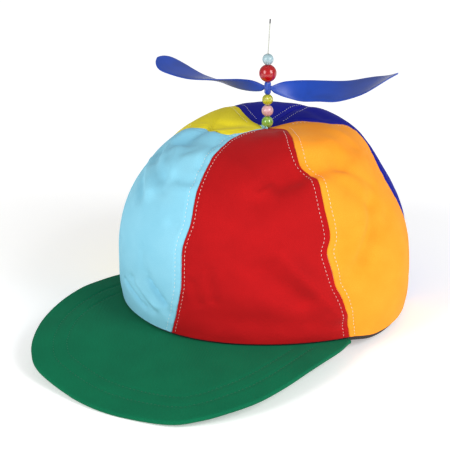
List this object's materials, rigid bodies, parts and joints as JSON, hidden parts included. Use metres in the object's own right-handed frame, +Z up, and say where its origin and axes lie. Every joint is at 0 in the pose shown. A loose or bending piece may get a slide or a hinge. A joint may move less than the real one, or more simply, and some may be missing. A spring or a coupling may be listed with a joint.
{
  "type": "propeller beanie",
  "caption": "Soft cloth cap with coloured sewn panels, a stiff bill, and a spinning propeller held between beads on an upright wire.",
  "frame": {"origin": "centre of the bounding box, on the surface the cap rests on", "axes": "+Z up, the bill points along -Y, +X to the wearer's left"},
  "size_m": [0.186, 0.279, 0.1908],
  "materials": {
    "cloth_red": "woven cotton twill, matt",
    "cloth_orange": "woven cotton twill, matt",
    "cloth_navy": "woven cotton twill, matt",
    "cloth_yellow": "woven cotton twill, matt",
    "cloth_light_blue": "woven cotton twill, matt",
    "cloth_green": "woven cotton twill over a stiff core",
    "band_black": "plain black tape",
    "steel_wire": "drawn wire",
    "bead_green": "clear tinted",
    "bead_pink": "pearly",
    "bead_yellow": "clear tinted",
    "propeller_blue": "moulded, smooth",
    "bead_red": "polished",
    "bead_pale_blue": "clear tinted"
  },
  "bodies": {
    "cap": {"crown_panel_red": "cloth_red", "crown_panel_orange": "cloth_orange", "crown_panel_navy_side": "cloth_navy", "crown_panel_navy_back": "cloth_navy", "crown_panel_yellow": "cloth_yellow", "crown_panel_light_blue": "cloth_light_blue", "brim": "cloth_green", "sweatband": "band_black", "spindle": "steel_wire", "bead_green": "bead_green", "bead_pink": "bead_pink", "bead_yellow": "bead_yellow", "bead_red": "bead_red", "bead_pale_blue": "bead_pale_blue"},
    "propeller_body": {"propeller": "propeller_blue"}
  },
  "joints": [
    {"name": "propeller_spin", "type": "hinge", "parent": "cap", "child": "propeller_body", "pos_m": [-0.00528, 0.04531, 0.1459], "axis": [0, 0, 1], "continuous": true}
  ]
}
